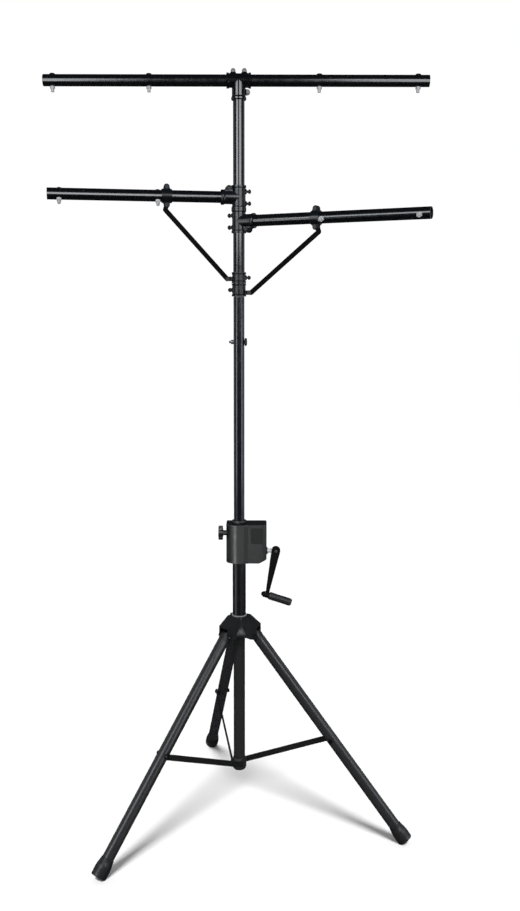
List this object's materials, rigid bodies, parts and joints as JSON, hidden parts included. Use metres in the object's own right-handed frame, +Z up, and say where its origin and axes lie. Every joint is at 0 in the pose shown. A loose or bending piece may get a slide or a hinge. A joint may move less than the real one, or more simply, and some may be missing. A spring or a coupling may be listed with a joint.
{
  "type": "crank lighting stand",
  "caption": "Floor stand with a folding tripod, geared hand-crank column, telescoping mast, crossbar and braced side arms for hanging stage lights.",
  "frame": {"origin": "on the floor, on the axis of the mast", "axes": "+Z up along the mast, +X along the crossbar towards the crank side, -Y the front"},
  "size_m": [1.2, 0.9907, 2.4793],
  "materials": {
    "column_paint": "satin black powder coat",
    "post_paint": "matte charcoal powder coat",
    "lift_paint": "semi-gloss blue-black anodised look",
    "kit_paint": "gloss black paint",
    "leg_paint": "satin charcoal powder coat",
    "strut_paint": "matte black paint",
    "brace_black": "matte black paint",
    "crank_black": "matte black paint",
    "hub_black": "satin charcoal glass-filled nylon",
    "box_plastic": "satin charcoal moulded plastic",
    "collar_plastic": "black moulded plastic",
    "knob_plastic": "black moulded plastic",
    "grip_plastic": "black textured plastic",
    "nylon": "natural nylon",
    "ring_grey": "light grey plastic",
    "boot_rubber": "dark rubber",
    "zinc": "bright zinc plate",
    "zinc_dark": "blackened steel",
    "pin_grey": "grey steel",
    "inner_zinc": "zinc-plated steel",
    "gear_steel": "cut steel",
    "bronze": "sintered bronze"
  },
  "bodies": {
    "column": {"main_tube": "column_paint", "guide_bush": "nylon", "tripod_hub": "hub_black", "hub_ring": "ring_grey", "leg_pivot_bolts": "zinc_dark", "gearbox_housing": "box_plastic", "gearbox_cover": "box_plastic", "housing_screws": "zinc_dark", "shaft_bushes": "bronze"},
    "post": {"lower_post": "post_paint", "spreader_collar": "collar_plastic"},
    "leg_left_body": {"leg_left": "leg_paint", "leg_knuckle_left": "hub_black", "foot_left": "boot_rubber", "strut_bolt_left": "zinc_dark"},
    "strut_left_body": {"strut_left": "strut_paint"},
    "leg_right_body": {"leg_right": "leg_paint", "leg_knuckle_right": "hub_black", "foot_right": "boot_rubber", "strut_bolt_right": "zinc_dark"},
    "strut_right_body": {"strut_right": "strut_paint"},
    "leg_rear_body": {"leg_rear": "leg_paint", "leg_knuckle_rear": "hub_black", "foot_rear": "boot_rubber", "strut_bolt_rear": "zinc_dark"},
    "strut_rear_body": {"strut_rear": "strut_paint"},
    "lift": {"lift_tube": "lift_paint", "lift_tube_foot": "nylon", "guide_pin": "zinc"},
    "clamp_bolt": {"mast_clamp_bolt": "knob_plastic"},
    "inner": {"top_section_tube": "inner_zinc", "top_section_foot": "nylon"},
    "t_bar": {"t_bar_mast": "kit_paint", "top_tee": "kit_paint", "top_tee_bolts": "zinc", "crossbar": "kit_paint", "crossbar_bolts": "zinc"},
    "left_arm": {"left_tee": "kit_paint", "left_arm_clamp": "kit_paint", "left_arm_tube": "kit_paint", "left_light_bolts": "zinc", "left_brace": "brace_black", "left_brace_collar": "kit_paint", "left_arm_fasteners": "zinc_dark"},
    "right_arm": {"right_tee": "kit_paint", "right_arm_clamp": "kit_paint", "right_arm_tube": "kit_paint", "right_light_bolts": "zinc", "right_brace": "brace_black", "right_brace_collar": "kit_paint", "right_arm_fasteners": "zinc_dark"},
    "pinion": {"rack_pinion": "gear_steel", "reduction_gear": "gear_steel"},
    "crank_spindle": {"crank_shaft": "zinc", "crank_pin": "pin_grey"},
    "crank": {"crank_arm": "crank_black", "grip_pin": "crank_black"},
    "grip": {"crank_grip": "grip_plastic"},
    "knob": {"lock_knob": "knob_plastic", "lock_screw": "zinc"}
  },
  "joints": [
    {"name": "tripod_fold_slide", "type": "slide", "parent": "column", "child": "post", "axis": [0, 0, -1], "range_m": [0, 0.29987]},
    {"name": "leg_left_fold", "type": "hinge", "parent": "column", "child": "leg_left_body", "pos_m": [-0.04429, -0.04048, 0.6628], "axis": [0.6747, -0.7381, 0], "range_deg": [0, 38.52]},
    {"name": "strut_left_swing", "type": "hinge", "parent": "leg_left_body", "child": "strut_left_body", "pos_m": [-0.23965, -0.21906, 0.33028], "axis": [-0.6747, 0.7381, 0], "range_deg": [0, 98.31]},
    {"name": "leg_right_fold", "type": "hinge", "parent": "column", "child": "leg_right_body", "pos_m": [0.0572, -0.01811, 0.6628], "axis": [0.3019, 0.9533, 0], "range_deg": [0, 38.52]},
    {"name": "strut_right_swing", "type": "hinge", "parent": "leg_right_body", "child": "strut_right_body", "pos_m": [0.30954, -0.09801, 0.33028], "axis": [-0.3019, -0.9533, 0], "range_deg": [0, 98.31]},
    {"name": "leg_rear_fold", "type": "hinge", "parent": "column", "child": "leg_rear_body", "pos_m": [-0.01291, 0.05859, 0.6628], "axis": [-0.9766, -0.2152, 0], "range_deg": [0, 38.52]},
    {"name": "strut_rear_swing", "type": "hinge", "parent": "leg_rear_body", "child": "strut_rear_body", "pos_m": [-0.06989, 0.31707, 0.33028], "axis": [0.9766, 0.2152, 0], "range_deg": [0, 98.31]},
    {"name": "lift_slide", "type": "slide", "parent": "column", "child": "lift", "axis": [0, 0, 1], "range_m": [0, 0.6]},
    {"name": "pinion_spin", "type": "hinge", "parent": "column", "child": "pinion", "pos_m": [0, 0.0287, 0.9658], "axis": [1, 0, 0], "continuous": true},
    {"name": "crank_spin", "type": "hinge", "parent": "column", "child": "crank_spindle", "pos_m": [0.11, 0.02, 0.94098], "axis": [1, 0, 0], "continuous": true},
    {"name": "crank_fold", "type": "hinge", "parent": "crank_spindle", "child": "crank", "pos_m": [0.1224, 0.02, 0.94098], "axis": [0, -1, 0], "range_deg": [0, 85]},
    {"name": "grip_spin", "type": "hinge", "parent": "crank", "child": "grip", "pos_m": [0.09273, 0.02, 0.78834], "axis": [0.9511, 0, -0.309], "continuous": true},
    {"name": "lock_knob_turn", "type": "hinge", "parent": "column", "child": "knob", "pos_m": [-0.06, 0, 1.0066], "axis": [1, 0, 0], "range_deg": [0, 360]},
    {"name": "clamp_bolt_turn", "type": "hinge", "parent": "lift", "child": "clamp_bolt", "pos_m": [0.02, 0, 1.6354], "axis": [1, 0, 0], "range_deg": [0, 360]},
    {"name": "top_section_slide", "type": "slide", "parent": "lift", "child": "inner", "axis": [0, 0, 1], "range_m": [0, 0.43]},
    {"name": "t_bar_swivel", "type": "hinge", "parent": "inner", "child": "t_bar", "pos_m": [0, 0, 1.8408], "axis": [0, 0, 1], "continuous": true},
    {"name": "left_arm_swivel", "type": "hinge", "parent": "t_bar", "child": "left_arm", "pos_m": [0, 0, 2.089], "axis": [0, 0, 1], "range_deg": [-60, 60]},
    {"name": "right_arm_swivel", "type": "hinge", "parent": "t_bar", "child": "right_arm", "pos_m": [0, 0, 2.0156], "axis": [0, 0, 1], "range_deg": [-60, 60]}
  ],
  "couplings": [
    {"joint": "leg_left_fold", "follows": "tripod_fold_slide", "rad_per_m": 2.242},
    {"joint": "strut_left_swing", "follows": "tripod_fold_slide", "rad_per_m": 5.7222},
    {"joint": "leg_right_fold", "follows": "tripod_fold_slide", "rad_per_m": 2.242},
    {"joint": "strut_right_swing", "follows": "tripod_fold_slide", "rad_per_m": 5.7222},
    {"joint": "leg_rear_fold", "follows": "tripod_fold_slide", "rad_per_m": 2.242},
    {"joint": "strut_rear_swing", "follows": "tripod_fold_slide", "rad_per_m": 5.7222},
    {"joint": "pinion_spin", "follows": "lift_slide", "rad_per_m": -83.333},
    {"joint": "crank_spin", "follows": "lift_slide", "rad_per_m": 166.67}
  ]
}
